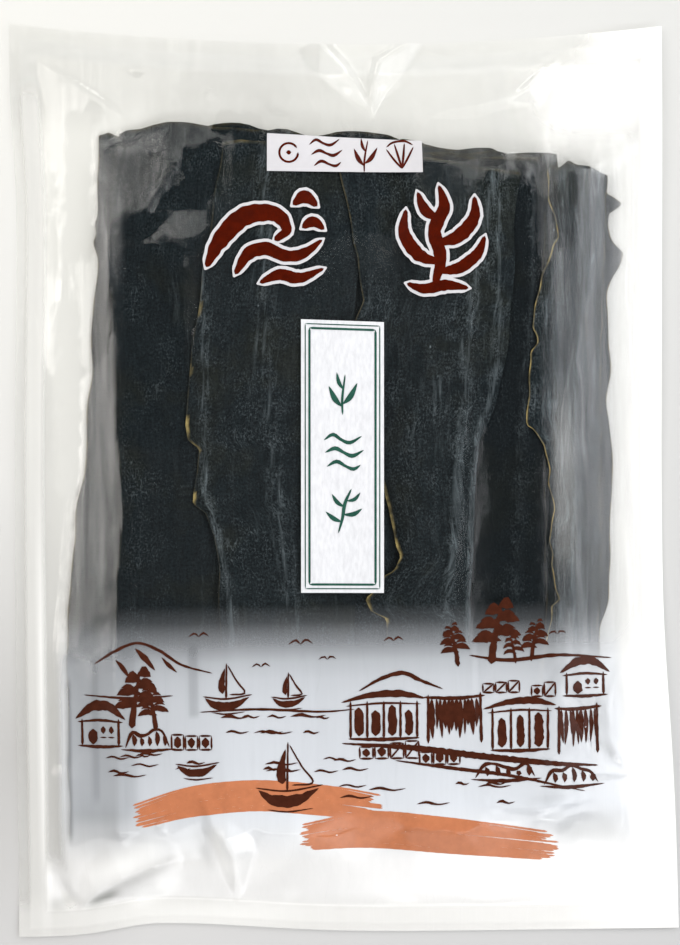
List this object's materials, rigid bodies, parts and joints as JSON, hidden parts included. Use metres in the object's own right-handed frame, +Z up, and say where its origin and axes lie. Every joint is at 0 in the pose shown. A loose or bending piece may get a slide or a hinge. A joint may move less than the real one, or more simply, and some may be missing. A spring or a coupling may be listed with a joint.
{
  "type": "bag of dried kelp",
  "caption": "Flat clear film bag, welded all round and filled with long dark blades of dried kelp, with a paper label and a printed front.",
  "frame": {"origin": "under the middle of the bag, on the surface it lies on", "axes": "+X to the bag's right, +Y to its top edge, +Z up out of its printed front"},
  "size_m": [0.3009, 0.417, 0.0185],
  "materials": {
    "clear_film": "clear glossy packing film",
    "label_paper": "matt fibrous paper",
    "kelp": "dry leathery blade with pale bloom",
    "white_print": "translucent white ink",
    "brown_print": "dark brown ink",
    "orange_print": "brushed orange ink"
  },
  "bodies": {
    "root": {"bag": "clear_film", "front_label": "label_paper"}
  },
  "joints": []
}
